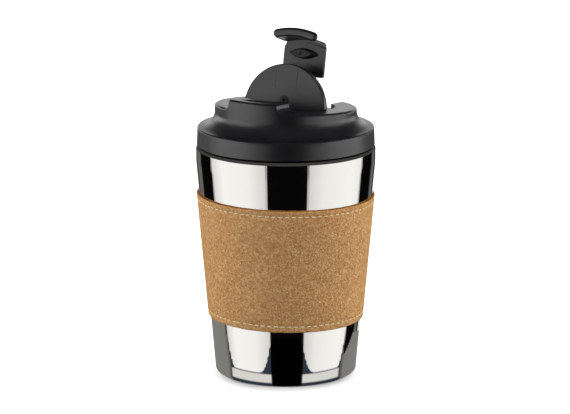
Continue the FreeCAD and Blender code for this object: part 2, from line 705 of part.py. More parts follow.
def make_latch_head():
    reach = 2 * RING_RADIUS
    plate = head_outline(HEAD_HALF_WIDTH, LIP_INNER, PLATE_UNDER, PLATE_TOP)
    pad = tube(PAD_OUTER, PAD_INNER, PAD_FACE, PLATE_UNDER)
    pad = pad.common(block(-HEAD_HALF_WIDTH, HEAD_HALF_WIDTH, -reach, -HEAD_START, PAD_FACE, PLATE_UNDER))
    inner_rim = block(-HEAD_HALF_WIDTH, HEAD_HALF_WIDTH, -HEAD_START - 2.0, -HEAD_START,
                      PAD_FACE, PLATE_UNDER)
    inner_rim = rounded_edges(inner_rim, 1.0, lambda edge: upright(edge)
                              and edge.CenterOfMass.y > -HEAD_START - 1)
    stem = block(-TONGUE_HALF_WIDTH, TONGUE_HALF_WIDTH, -HEAD_START - STEM_THICK, -HEAD_START,
                 DISC_TOP, PLATE_UNDER)
    tongue = Part.makeCylinder(DISC_RADIUS, DISC_THICK, Vec(0, 0, DISC_UNDER))
    tongue = rounded_edges(tongue, 0.4, lambda edge: edge.Closed)
    tongue = tongue.common(block(-TONGUE_HALF_WIDTH, TONGUE_HALF_WIDTH, -reach, -TONGUE_START,
                                 DISC_UNDER, DISC_TOP))
    stud_hole = Part.makeCylinder(PLUG_STUD, PLUG_STUD_DEPTH, Vec(0, -SLOT_CENTRE, PAD_FACE))
    head = plate.fuse([pad, inner_rim, stem, tongue, lip_shape()]).removeSplitter()
    return opened(head.cut(stud_hole))


def make_drink_plug():
    root = lens_wire(SLOT_HALF_LENGTH - PLUG_CLEAR, SLOT_HALF_WIDTH - PLUG_CLEAR, SLOT_CENTRE, PAD_FACE)
    tip = lens_wire(PLUG_TIP_HALF_LENGTH, PLUG_TIP_HALF_WIDTH, SLOT_CENTRE, PAD_FACE - PLUG_HEIGHT)
    body = Part.makeLoft([root, tip], True, True)
    stud = Part.makeCylinder(PLUG_STUD, PLUG_STUD_DEPTH, Vec(0, -SLOT_CENTRE, PAD_FACE))
    ball = PLUG_DIMPLE * 1.25
    dimple = Part.makeSphere(ball, Vec(0, -SLOT_CENTRE, PAD_FACE - PLUG_HEIGHT - ball * 0.6))
    return opened(body.fuse(stud).removeSplitter().cut(dimple))


PIECES = {
    "outer_shell": make_outer_shell,
    "inner_liner": make_threaded_liner,
    "vacuum_plate": make_vacuum_plate,
    "seal_bead": make_seal_bead,
    "getter": make_getter,
    "base_cover": make_base_cover,
    "sleeve_lining": make_sleeve_lining,
    "cork_sleeve": make_cork_sleeve,
    "bottom_stitching": make_bottom_stitching,
    "top_stitching": make_top_stitching,
    "seam_stitching": make_seam_stitching,
    "neck_gasket": make_neck_gasket,
    "threaded_collar": make_threaded_collar,
    "lid_cap": make_lid_cap,
    "flap_disc": make_flap_disc,
    "latch_head": make_latch_head,
    "drink_plug": make_drink_plug,
    "vent_plug": make_vent_plug,
}

os.makedirs("parts", exist_ok=True)
for name, make in PIECES.items():
    piece = make()
    piece.exportStep("parts/" + name + ".step")
    print(name, "solids", len(piece.Solids), "volume %.1f" % piece.Volume, "valid", piece.isValid())
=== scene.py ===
"""Look of the travel cup: mirror-polished double wall, sewn cork band, black moulded lid, flap up."""
import math
import bpy
from mathutils import Matrix, Vector, noise


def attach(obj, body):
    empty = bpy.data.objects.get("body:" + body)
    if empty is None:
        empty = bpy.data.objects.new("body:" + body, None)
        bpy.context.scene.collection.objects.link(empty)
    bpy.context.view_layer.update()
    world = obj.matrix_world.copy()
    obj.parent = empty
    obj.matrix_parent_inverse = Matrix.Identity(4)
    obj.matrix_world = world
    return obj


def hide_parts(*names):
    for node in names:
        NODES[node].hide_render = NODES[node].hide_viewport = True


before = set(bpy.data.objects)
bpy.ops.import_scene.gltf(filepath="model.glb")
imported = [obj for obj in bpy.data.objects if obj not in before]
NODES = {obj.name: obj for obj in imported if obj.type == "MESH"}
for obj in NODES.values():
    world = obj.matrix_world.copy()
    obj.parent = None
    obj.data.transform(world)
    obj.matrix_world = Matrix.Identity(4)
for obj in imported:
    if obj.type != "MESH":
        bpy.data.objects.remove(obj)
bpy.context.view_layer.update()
MM = 0.001

# ---- sizes, in millimetres -----------------------------------------------------------------------
WALL_AT_BASE = 34.45         # outer radius that the tapered wall has on the base plane
TAPER_END = 105.0
BODY_RADIUS = 43.8
TAPER = (BODY_RADIUS - WALL_AT_BASE) / TAPER_END
SHEET = 0.5
FOOT_INNER = 30.45           # inner edge of the ring that the cup stands on
SHOULDER_TOP = 113.0
CUP_TOP = 118.4
CRISP_EDGE = 28              # degrees, edges of the CAD pieces that stay sharp
NECK_RADIUS = 41.3
SLEEVE_LOW = 28.0
SLEEVE_HIGH = 89.0
SLEEVE_TILT = math.tan(math.radians(0.9))
SLEEVE_TILT_AZIMUTH = math.radians(120)
SLEEVE_INNER = 0.42          # cork's inner face, out from the steel
SLEEVE_OUTER = 1.15
STITCH_INSET = 2.9
STITCH_DENT = 0.16           # how deep the sewn lines pull the cork in
STITCH_DENT_WIDTH = 0.7
STITCH_LENGTH = 2.4
STITCH_THICK = 0.7           # across the stitch
STITCH_PROUD = 0.56          # outwards
STITCH_SUNK = 0.1            # stitch's middle below the cork's face
EDGE_ROUND = 0.3             # softened edges of the band
STITCH_PITCH = 3.2
SEAM_INSET = 2.6             # stitch rows to the butt seam at the back
SEAM_GAP = 0.2               # opening of the butt seam
SEAM_RADIUS = 42             # where that opening is measured
CAMERA_TURN = math.radians(30)
CAMERA_DROP = math.radians(12.913)
LENS = 198.915789            # focal length of the camera on a 36 mm sensor
FLOOR_RADIUS = 6.0           # metres
FLOOR_GAP = 0.0002           # metres, floor and cards below and above the base plane
CARD_BEND = 0.019            # metres, bends the cards towards the camera's side close to the cup
CARD_RADIUS = 0.046          # metres, where the near cards give way to the far ones
CARD_BOW = 0.034             # metres, how far that edge swings out at the black gaps


# ---- modelling helpers ---------------------------------------------------------------------------
def deselect_all():
    """Leaves nothing selected."""
    bpy.ops.object.select_all(action="DESELECT")


def make_active(obj):
    """Selects this object alone."""
    deselect_all()
    obj.select_set(True)
    bpy.context.view_layer.objects.active = obj


def wall(z):
    """Outer radius of the steel wall at height z, in millimetres."""
    return WALL_AT_BASE + TAPER * min(z, TAPER_END)


def rounded(corners, steps):
    """Outline through (radius, height, corner radius) points, each corner turned into a short arc."""
    outline = []
    count = len(corners)
    for i, (r, z, curve) in enumerate(corners):
        here = Vector((r, z))
        if curve == 0:
            outline.append(here)
            continue
        back = (Vector(corners[i - 1][:2]) - here).normalized()
        ahead = (Vector(corners[(i + 1) % count][:2]) - here).normalized()
        half = back.angle(ahead) / 2
        centre = here + (back + ahead).normalized() * (curve / math.sin(half))
        first = here + back * (curve / math.tan(half)) - centre
        last = here + ahead * (curve / math.tan(half)) - centre
        sweep = first.angle_signed(last)
        for k in range(steps + 1):
            turn = Matrix.Rotation(-sweep * k / steps, 2)
            outline.append(centre + turn @ first)
    return outline


def turn_outline(name, outline, segments, start=0.0, sweep=2 * math.pi):
    """Extrudes one point along the outline as a chain of edges, closes it, and spins it about the axis.

    A sweep short of a full turn leaves two open ends, and both are filled.
    """
    deselect_all()
    bpy.ops.mesh.primitive_plane_add(size=MM, location=(0, 0, 0))
    obj = bpy.context.object
    obj.name = name
    bpy.ops.object.mode_set(mode="EDIT")
    bpy.ops.mesh.select_all(action="SELECT")
    bpy.ops.mesh.merge(type="CENTER")
    direction = Vector((math.cos(start), math.sin(start), 0))
    places = [direction * (p.x * MM) + Vector((0, 0, p.y * MM)) for p in outline]
    bpy.ops.transform.translate(value=places[0])
    for here, there in zip(places, places[1:]):
        bpy.ops.mesh.extrude_region_move(TRANSFORM_OT_translate={"value": there - here})
    bpy.ops.mesh.select_all(action="SELECT")
    bpy.ops.object.mode_set(mode="OBJECT")
    used = [i for edge in obj.data.edges for i in edge.vertices]
    for v in obj.data.vertices:
        v.select = used.count(v.index) == 1
    bpy.ops.object.mode_set(mode="EDIT")
    bpy.ops.mesh.edge_face_add()
    bpy.ops.mesh.select_all(action="SELECT")
    bpy.ops.mesh.spin(steps=segments, angle=sweep, center=(0, 0, 0), axis=(0, 0, 1))
    bpy.ops.mesh.select_all(action="SELECT")
    bpy.ops.mesh.remove_doubles(threshold=1e-6)
    if sweep < 2 * math.pi:
        bpy.ops.mesh.select_all(action="DESELECT")
        bpy.ops.mesh.select_non_manifold()
        bpy.ops.mesh.fill_holes(sides=0)
        bpy.ops.mesh.select_all(action="SELECT")
    bpy.ops.mesh.normals_make_consistent(inside=False)
    bpy.ops.object.mode_set(mode="OBJECT")
    return obj


def smooth(obj, degrees):
    """Smooth shading, with edges sharper than this angle left crisp."""
    make_active(obj)
    bpy.ops.object.shade_smooth_by_angle(angle=math.radians(degrees))


def merged_copy(node):
    """Copy of a CAD piece with its loose triangles joined, so that its curved faces shade smoothly."""
    copy = NODES[node].copy()
    copy.data = NODES[node].data.copy()
    copy.name = node + "_finished"
    for key in list(copy.keys()):
        del copy[key]
    copy.parent = None
    bpy.context.scene.collection.objects.link(copy)
    make_active(copy)
    bpy.ops.object.mode_set(mode="EDIT")
    bpy.ops.mesh.select_all(action="SELECT")
    bpy.ops.mesh.remove_doubles(threshold=2e-6)
    bpy.ops.object.mode_set(mode="OBJECT")
    bpy.ops.mesh.customdata_custom_splitnormals_clear()
    smooth(copy, CRISP_EDGE)
    even = copy.modifiers.new("even_normals", "WEIGHTED_NORMAL")
    even.mode = "FACE_AREA"
    even.weight = 80
    even.keep_sharp = True
    bpy.ops.object.modifier_apply(modifier=even.name)
    return copy


def finish_piece(obj, material, body, slot, *nodes):
    """Gives a finished piece its material and its body, and hides the CAD pieces it stands for. Its slot is
    not used.
    """
    obj.data.materials.clear()
    obj.data.materials.append(material)
    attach(obj, body)
    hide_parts(*nodes)


# ---- material helpers ----------------------------------------------------------------------------
def linear(code):
    """sRGB hex to linear RGBA."""
    values = [int(code[i:i + 2], 16) / 255 for i in (1, 3, 5)]
    return tuple(v / 12.92 if v <= 0.04045 else ((v + 0.055) / 1.055) ** 2.4 for v in values) + (1.0,)


def add(tree, kind, settings=None, **inputs):
    """Adds a node, sets its properties, and sets or links its inputs.

    An input's name has _ for a space, or is i0, i1 and so on for its place.
    """
    made = tree.nodes.new(kind)
    for key, value in (settings or {}).items():
        setattr(made, key, value)
    for key, value in inputs.items():
        by_place = key[0] == "i" and key[1:].isdigit()
        socket = made.inputs[int(key[1:]) if by_place else key.replace("_", " ")]
        if isinstance(value, bpy.types.NodeSocket):
            tree.links.new(value, socket)
        else:
            socket.default_value = value
    return made


def maths(tree, operation, first, second, third=0.0):
    """Result of one math node."""
    made = add(tree, "ShaderNodeMath", {"operation": operation}, i0=first, i1=second, i2=third)
    return made.outputs[0]


def ramp(tree, factor, stops):
    """Colour ramp with (position, hex or grey) stops."""
    made = add(tree, "ShaderNodeValToRGB", None, Fac=factor)
    elements = made.color_ramp.elements
    while len(elements) < len(stops):
        elements.new(0.5)
    for element, (place, colour) in zip(elements, stops):
        element.position = place
    for element, (place, colour) in zip(elements, stops):
        element.color = linear(colour) if isinstance(colour, str) else (colour, colour, colour, 1)
    return made.outputs["Color"]


def new_material(name):
    """Material with its shader and the object coordinates that its textures use."""
    made = bpy.data.materials.new(name)
    made.use_nodes = True
    tree = made.node_tree
    shader = tree.nodes["Principled BSDF"]
    place = add(tree, "ShaderNodeTexCoord").outputs["Object"]
    return made, tree, shader, place


def mirror_polished_steel():
    """18/8 stainless steel, spun, then buffed with rouge: a clean mirror with the faintest haze and
    hardly seen buffing marks that run round the wall."""
    made, tree, shader, place = new_material("stainless_steel_mirror_buffed")
    shader.inputs["Base Color"].default_value = linear("#EDEBE6")
    shader.inputs["Metallic"].default_value = 1.0
    stretched = add(tree, "ShaderNodeMapping", None, Vector=place, Scale=(60, 60, 4000)).outputs[0]
    marks = add(tree, "ShaderNodeTexNoise", None, Vector=stretched, Scale=1.0, Detail=2.0).outputs["Fac"]
    haze = add(tree, "ShaderNodeTexNoise", None, Vector=place, Scale=45.0, Detail=3.0).outputs["Fac"]
    rough = add(tree, "ShaderNodeMapRange", None, Value=haze, From_Min=0.3, From_Max=0.7, To_Min=0.028,
                To_Max=0.06).outputs[0]
    tree.links.new(rough, shader.inputs["Roughness"])
    bump = add(tree, "ShaderNodeBump", None, Strength=0.02, Distance=0.00002, Height=marks).outputs[0]
    tree.links.new(bump, shader.inputs["Normal"])
    return made


def satin_steel():
    """Stainless steel, deep drawn and electropolished: an even satin sheen."""
    made, tree, shader, place = new_material("stainless_steel_electropolished")
    shader.inputs["Base Color"].default_value = linear("#D6D5D2")
    shader.inputs["Metallic"].default_value = 1.0
    ringed = add(tree, "ShaderNodeMapping", None, Vector=place, Scale=(300, 300, 5000)).outputs[0]
    marks = add(tree, "ShaderNodeTexNoise", None, Vector=ringed, Scale=1.0, Detail=3.0).outputs["Fac"]
    rough = add(tree, "ShaderNodeMapRange", None, Value=marks, To_Min=0.2, To_Max=0.32).outputs[0]
    tree.links.new(rough, shader.inputs["Roughness"])
    bump = add(tree, "ShaderNodeBump", None, Strength=0.06, Distance=0.00005, Height=marks).outputs[0]
    tree.links.new(bump, shader.inputs["Normal"])
    return made


def dull_braze():
    """Nickel braze and sintered getter metal: grey, matte and a little grainy."""
    made, tree, shader, place = new_material("nickel_braze_as_fired")
    grain = add(tree, "ShaderNodeTexNoise", None, Vector=place, Scale=3000.0, Detail=2.0).outputs["Fac"]
    colour = ramp(tree, grain, [(0.3, "#77726A"), (0.7, "#A39C90")])
    tree.links.new(colour, shader.inputs["Base Color"])
    shader.inputs["Metallic"].default_value = 1.0
    shader.inputs["Roughness"].default_value = 0.55
    bump = add(tree, "ShaderNodeBump", None, Strength=0.4, Distance=0.0001, Height=grain).outputs[0]
    tree.links.new(bump, shader.inputs["Normal"])
    return made


def agglomerated_cork():
    """Agglomerated cork sheet, sliced and sanded: fine tan granules of 0.5 to 1.5 mm with pale flecks
    and small dark bark specks, matte, with the tiny pits of open cells. Its sanded edges are darker."""
    made, tree, shader, place = new_material("agglomerated_cork_sanded")
    wobble = add(tree, "ShaderNodeTexNoise", None, Vector=place, Scale=900.0, Detail=1.0).outputs["Color"]
    bent = add(tree, "ShaderNodeMixRGB", {"blend_type": "LINEAR_LIGHT"}, Fac=0.0006, Color1=place,
               Color2=wobble).outputs[0]
    granule = add(tree, "ShaderNodeTexVoronoi", None, Vector=bent, Scale=1350.0)
    tone = add(tree, "ShaderNodeSeparateColor", None, Color=granule.outputs["Color"]).outputs[0]
    body = ramp(tree, tone, [(0.0, "#AA7A4A"), (0.35, "#BC8C5A"), (0.7, "#C59763"), (1.0, "#D3AB78")])
    cloud = add(tree, "ShaderNodeTexNoise", None, Vector=place, Scale=70.0, Detail=4.0).outputs["Fac"]
    shade = ramp(tree, cloud, [(0.3, 0.91), (0.7, 1.0)])
    body = add(tree, "ShaderNodeMixRGB", {"blend_type": "MULTIPLY"}, Fac=1.0, Color1=body,
               Color2=shade).outputs[0]
    fine = add(tree, "ShaderNodeTexNoise", None, Vector=place, Scale=2200.0, Detail=2.0).outputs["Fac"]
    fine_shade = ramp(tree, fine, [(0.34, 0.7), (0.62, 1.0)])
    body = add(tree, "ShaderNodeMixRGB", {"blend_type": "MULTIPLY"}, Fac=0.8, Color1=body,
               Color2=fine_shade).outputs[0]
    speck = add(tree, "ShaderNodeTexVoronoi", None, Vector=bent, Scale=1050.0)
    chance = add(tree, "ShaderNodeSeparateColor", None, Color=speck.outputs["Color"]).outputs[1]
    is_dark = ramp(tree, chance, [(0.87, 0.0), (0.93, 0.75)])
    near = ramp(tree, speck.outputs["Distance"], [(0.22, 1.0), (0.42, 0.0)])
    dark = maths(tree, "MULTIPLY", is_dark, near)
    body = add(tree, "ShaderNodeMixRGB", None, Fac=dark, Color1=body, Color2=linear("#7E5632")).outputs[0]
    is_pale = ramp(tree, chance, [(0.05, 0.7), (0.1, 0.0)])
    pale = maths(tree, "MULTIPLY", is_pale, near)
    body = add(tree, "ShaderNodeMixRGB", None, Fac=pale, Color1=body, Color2=linear("#DDBD95")).outputs[0]
    rim = add(tree, "ShaderNodeAttribute", {"attribute_name": "cut_edge"}).outputs["Fac"]
    body = add(tree, "ShaderNodeMixRGB", None, Fac=rim, Color1=body, Color2=linear("#A4682C")).outputs[0]
    tree.links.new(body, shader.inputs["Base Color"])
    shader.inputs["Roughness"].default_value = 0.82
    shader.inputs["Specular IOR Level"].default_value = 0.3
    heights = maths(tree, "ADD", fine, granule.outputs["Distance"])
    bump = add(tree, "ShaderNodeBump", None, Strength=0.55, Distance=0.00025, Height=heights).outputs[0]
    tree.links.new(bump, shader.inputs["Normal"])
    return made


def woven_backing():
    """Thin woven cotton glued behind the cork: brown, matte, seen only at the edges."""
    made, tree, shader, place = new_material("cotton_backing_woven")
    weave = add(tree, "ShaderNodeTexWave", {"bands_direction": "Z"}, Vector=place, Scale=900.0,
                Distortion=2.0).outputs["Fac"]
    colour = ramp(tree, weave, [(0.2, "#6B4A2C"), (0.8, "#8A6540")])
    tree.links.new(colour, shader.inputs["Base Color"])
    shader.inputs["Roughness"].default_value = 0.95
    return made


def waxed_thread():
    """Waxed polyester sewing thread: cream, twisted, with a soft sheen."""
    made, tree, shader, place = new_material("polyester_thread_waxed")
    twist = add(tree, "ShaderNodeTexWave", {"bands_direction": "DIAGONAL"}, Vector=place, Scale=1500.0,
                Distortion=1.0).outputs["Fac"]
    colour = ramp(tree, twist, [(0.1, "#B69A70"), (0.6, "#E3CFA8")])
    tree.links.new(colour, shader.inputs["Base Color"])
    shader.inputs["Roughness"].default_value = 0.55
    bump = add(tree, "ShaderNodeBump", None, Strength=0.5, Distance=0.0001, Height=twist).outputs[0]
    tree.links.new(bump, shader.inputs["Normal"])
    return made


def moulded_black():
    """Injection-moulded polypropylene from a fine spark-eroded tool: near black, with a soft even sheen
    and a very fine grain that breaks up its highlights."""
    made, tree, shader, place = new_material("polypropylene_black_fine_texture")
    grain = add(tree, "ShaderNodeTexNoise", None, Vector=place, Scale=3200.0, Detail=2.0).outputs["Fac"]
    cloud = add(tree, "ShaderNodeTexNoise", None, Vector=place, Scale=90.0, Detail=3.0).outputs["Fac"]
    colour = ramp(tree, cloud, [(0.3, "#0E0E10"), (0.7, "#131315")])
    tree.links.new(colour, shader.inputs["Base Color"])
    rough = add(tree, "ShaderNodeMapRange", None, Value=grain, From_Min=0.3, From_Max=0.7,
                To_Min=0.29, To_Max=0.37).outputs[0]
    tree.links.new(rough, shader.inputs["Roughness"])
    shader.inputs["IOR"].default_value = 1.49
    shader.inputs["Specular IOR Level"].default_value = 0.8
    bump = add(tree, "ShaderNodeBump", None, Strength=0.16, Distance=0.00006, Height=grain).outputs[0]
    tree.links.new(bump, shader.inputs["Normal"])
    return made


def moulded_silicone():
    """Compression-moulded food silicone: dark, matte and slightly dusty."""
    made, tree, shader, place = new_material("silicone_rubber_moulded")
    dust = add(tree, "ShaderNodeTexNoise", None, Vector=place, Scale=700.0, Detail=4.0).outputs["Fac"]
    colour = ramp(tree, dust, [(0.35, "#121213"), (0.75, "#1E1E20")])
    tree.links.new(colour, shader.inputs["Base Color"])
    shader.inputs["Roughness"].default_value = 0.5
    shader.inputs["IOR"].default_value = 1.41
    bump = add(tree, "ShaderNodeBump", None, Strength=0.1, Distance=0.00005, Height=dust).outputs[0]
    tree.links.new(bump, shader.inputs["Normal"])
    return made


MIRROR = mirror_polished_steel()
SATIN = satin_steel()
BRAZE = dull_braze()
CORK = agglomerated_cork()
BACKING = woven_backing()
THREAD = waxed_thread()
LID_PLASTIC = moulded_black()
SILICONE = moulded_silicone()


# ---- steel ---------------------------------------------------------------------------------------
def make_shell():
    """Outer wall as one fine turned surface, so that its reflections run clean."""
    corners = [
        (FOOT_INNER, 0, 0),
        (WALL_AT_BASE, 0, 1.8),
        (BODY_RADIUS, TAPER_END, 40),
        (BODY_RADIUS, SHOULDER_TOP, 1.9),
        (NECK_RADIUS, SHOULDER_TOP, 0.5),
        (NECK_RADIUS, CUP_TOP, 0.2),
        (NECK_RADIUS - SHEET, CUP_TOP, 0),
        (NECK_RADIUS - SHEET, SHOULDER_TOP - SHEET, 1.0),
        (BODY_RADIUS - SHEET, SHOULDER_TOP - SHEET, 1.4),
        (BODY_RADIUS - SHEET, TAPER_END, 40),
        (wall(SHEET) - SHEET, SHEET, 1.3),
        (FOOT_INNER, SHEET, 0),
    ]
    shell = turn_outline("shell_mirror", rounded(corners, 9), 256)
    smooth(shell, 40)
    finish_piece(shell, MIRROR, "cup", "polished_steel", "outer_shell")


def make_hidden_steel():
    """Liner, plates, braze and getter, from their CAD pieces."""
    for node, material, slot in (("inner_liner", SATIN, "brushed_steel"),
                                 ("vacuum_plate", SATIN, "brushed_steel"),
                                 ("base_cover", SATIN, "polished_steel"),
                                 ("seal_bead", BRAZE, "braze"),
                                 ("getter", BRAZE, "braze")):
        finish_piece(merged_copy(node), material, "cup", slot, node)


# ---- cork band -----------------------------------------------------------------------------------
def askew(azimuth, radius):
    """How far the band's edges stand above their level place, in millimetres."""
    return SLEEVE_TILT * radius * math.sin(azimuth - SLEEVE_TILT_AZIMUTH)


def make_cork_band():
    """Cork band with softened edges, a dent along each sewn line, and its butt seam at the back."""
    low, high = SLEEVE_LOW, SLEEVE_HIGH
    # rows stand closer together by the edge and the sewn line, and mirror each other about the middle
    rows = [low + 0.35, low + 1.2, low + 2.0, low + 2.5, low + STITCH_INSET, low + 3.3, low + 3.8, low + 4.8]
    middle_rows = [low + 4.8 + (high - low - 9.6) * k / 14 for k in range(1, 14)]
    rows = rows + middle_rows + [low + high - z for z in reversed(rows)]

    def dent(z):
        away = min(abs(z - low - STITCH_INSET), abs(high - STITCH_INSET - z))
        return STITCH_DENT * math.exp(-(away / STITCH_DENT_WIDTH) ** 2)

    outer = [(wall(z) + SLEEVE_OUTER - dent(z), z) for z in rows]
    outline = [(wall(low) + SLEEVE_INNER, low + 0.05), (wall(low) + SLEEVE_OUTER - EDGE_ROUND, low)]
    outline.append((wall(low) + SLEEVE_OUTER - 0.08, low + 0.1))
    outline += outer
    outline.append((wall(high) + SLEEVE_OUTER - 0.08, high - 0.1))
    outline.append((wall(high) + SLEEVE_OUTER - EDGE_ROUND, high))
    outline.append((wall(high) + SLEEVE_INNER, high - 0.05))
    gap = SEAM_GAP / SEAM_RADIUS
    band = turn_outline("cork_band", [Vector(p) for p in outline], 240, math.pi / 2 + gap / 2,
                        2 * math.pi - gap)
    edge = band.data.attributes.new("cut_edge", "FLOAT", "POINT")
    for i, vertex in enumerate(band.data.vertices):
        x, y, z = vertex.co / MM
        radius = math.hypot(x, y)
        azimuth = math.atan2(y, x)
        rim = max(0.0, 1 - min(z - low, high - z) / EDGE_ROUND)
        rise = askew(azimuth, radius) + rim * 0.16 * noise.noise(Vector((x, y, z)) * 0.35)
        grown = radius + TAPER * rise + 0.05 * noise.noise(Vector((x, y, z)) * 0.08)
        vertex.co = Vector((grown * math.cos(azimuth), grown * math.sin(azimuth), z + rise)) * MM
        edge.data[i].value = rim
    smooth(band, 50)
    finish_piece(band, CORK, "cup", "cork", "cork_sleeve")


def stitch_model():
    """One plump stitch, its ends pulled down into the cork, along X with its top towards +Z."""
    deselect_all()
    bpy.ops.mesh.primitive_uv_sphere_add(segments=8, ring_count=7, radius=0.5 * MM, location=(0, 0, 0))
    model = bpy.context.object
    bpy.ops.object.mode_set(mode="EDIT")
    bpy.ops.mesh.select_all(action="SELECT")
    bpy.ops.transform.rotate(value=math.pi / 2, orient_axis="Y", center_override=(0, 0, 0))
    bpy.ops.transform.resize(value=(STITCH_LENGTH, STITCH_THICK, STITCH_PROUD), center_override=(0, 0, 0))
    bpy.ops.object.mode_set(mode="OBJECT")
    for vertex in model.data.vertices:
        vertex.co.z -= 0.22 * MM * (vertex.co.x / (1.15 * MM)) ** 4
    return model


def sew(name, places, node):
    """Row of stitches: copies of the one stitch set at (azimuth, height, upright) places and joined."""
    model = stitch_model()
    copies = []
    for k, (azimuth, height, upright) in enumerate(places):
        copy = model.copy()
        copy.data = model.data.copy()
        bpy.context.scene.collection.objects.link(copy)
        radius = (wall(height) + SLEEVE_OUTER - STITCH_SUNK) * MM
        lean = Matrix.Rotation(math.atan(TAPER), 4, "Y")
        along = Matrix.Rotation(math.pi / 2 if not upright else 0, 4, "Z")
        jitter = Matrix.Rotation(0.2 * noise.noise(Vector((k * 1.7, 0.3, 5.1))), 4, "Z")
        outward = Matrix.Rotation(math.pi / 2, 4, "Y")
        place = Matrix.Translation(Vector((radius, 0, height * MM)))
        copy.data.transform(Matrix.Rotation(azimuth, 4, "Z") @ place @ lean @ outward @ along @ jitter)
        copies.append(copy)
    bpy.data.objects.remove(model)
    deselect_all()
    for copy in copies:
        copy.select_set(True)
    bpy.context.view_layer.objects.active = copies[0]
    bpy.ops.object.join()
    row = bpy.context.object
    row.name = name
    make_active(row)
    bpy.ops.object.shade_smooth()
    finish_piece(row, THREAD, "cup", "thread", node)


def make_stitching():
    """Stitch rows along both edges of the band and up both sides of its seam."""
    for name, level, node in (("stitches_top", SLEEVE_HIGH - STITCH_INSET, "top_stitching"),
                              ("stitches_bottom", SLEEVE_LOW + STITCH_INSET, "bottom_stitching")):
        radius = wall(level) + SLEEVE_OUTER
        count = round(2 * math.pi * radius / STITCH_PITCH)
        turns = [2 * math.pi * k / count for k in range(count)]
        sew(name, [(turn, level + askew(turn, radius), False) for turn in turns], node)
    low = SLEEVE_LOW + 2 * STITCH_INSET
    high = SLEEVE_HIGH - 2 * STITCH_INSET
    count = round((high - low) / STITCH_PITCH)
    places = []
    for side in (-1, 1):
        for k in range(count + 1):
            level = low + (high - low) * k / count
            places.append((math.pi / 2 + side * SEAM_INSET / wall(level), level, True))
    sew("stitches_seam", places, "seam_stitching")


def make_lining():
    """Cotton backing, seen only as a line at the band's edges."""
    finish_piece(merged_copy("sleeve_lining"), BACKING, "cup", "backing", "sleeve_lining")


# ---- lid and flap --------------------------------------------------------------------------------
def make_lid():
    """Gasket, collar and cap, from their CAD pieces."""
    finish_piece(merged_copy("neck_gasket"), SILICONE, "seal", "silicone", "neck_gasket")
    finish_piece(merged_copy("threaded_collar"), LID_PLASTIC, "lid", "black_pp", "threaded_collar")
    finish_piece(merged_copy("lid_cap"), LID_PLASTIC, "lid", "black_pp", "lid_cap")


def make_flap():
    """Disc, head and both plugs, from their CAD pieces."""
    finish_piece(merged_copy("flap_disc"), LID_PLASTIC, "flap", "black_pp", "flap_disc")
    finish_piece(merged_copy("latch_head"), LID_PLASTIC, "flap", "black_pp", "latch_head")
    finish_piece(merged_copy("drink_plug"), SILICONE, "flap", "dark_silicone", "drink_plug")
    finish_piece(merged_copy("vent_plug"), SILICONE, "flap", "dark_silicone", "vent_plug")


# ---- studio --------------------------------------------------------------------------------------
def towards(turn, distance, height):
    """Place at this turn from the camera's side of the cup, positive to the camera's right."""
    azimuth = CAMERA_TURN + turn
    return Vector((math.sin(azimuth) * distance, -math.cos(azimuth) * distance, height))


def glow_material(name, strength):
    """Material that only glows, and the node that does it."""
    made = bpy.data.materials.new(name)
    made.use_nodes = True
    tree = made.node_tree
    tree.nodes.clear()
    light = add(tree, "ShaderNodeEmission", None, Strength=strength).outputs[0]
    add(tree, "ShaderNodeOutputMaterial", None, Surface=light)
    return made, tree, light.node


def make_floor():
    """Pale sweep that glows by itself, except close round the foot: there the glow fades out round a point
    set towards the camera, which paints a contact shadow, and the cup's own shadow shows in it.
    """
    deselect_all()
    bpy.ops.mesh.primitive_circle_add(vertices=96, radius=FLOOR_RADIUS, fill_type="NGON",
                                      location=(0, 0, -FLOOR_GAP))
    floor = bpy.context.object
    floor.name = "floor"
    made, tree, shader, place = new_material("paper_sweep_white")
    shader.inputs["Base Color"].default_value = (0.66, 0.66, 0.66, 1)
    shader.inputs["Roughness"].default_value = 0.9
    shader.inputs["Specular IOR Level"].default_value = 0.1
    shader.inputs["Emission Color"].default_value = (1, 1, 1, 1)
    reach = add(tree, "ShaderNodeVectorMath", {"operation": "DISTANCE"}, i0=place,
                i1=towards(0, 0.012, 0)).outputs["Value"]
    # painted shadow: the glow rises from nothing at 26 mm to full at 42 mm from a point 12 mm out towards
    # the camera
    glow_cut_for_painted_shadow = add(tree, "ShaderNodeMapRange", None, Value=reach, From_Min=0.026, From_Max=0.042, To_Min=0.0,
               To_Max=0.8).outputs[0]
    tree.links.new(glow_cut_for_painted_shadow, shader.inputs["Emission Strength"])
    floor.visible_diffuse = False
    floor.visible_glossy = False
    floor.data.materials.append(made)


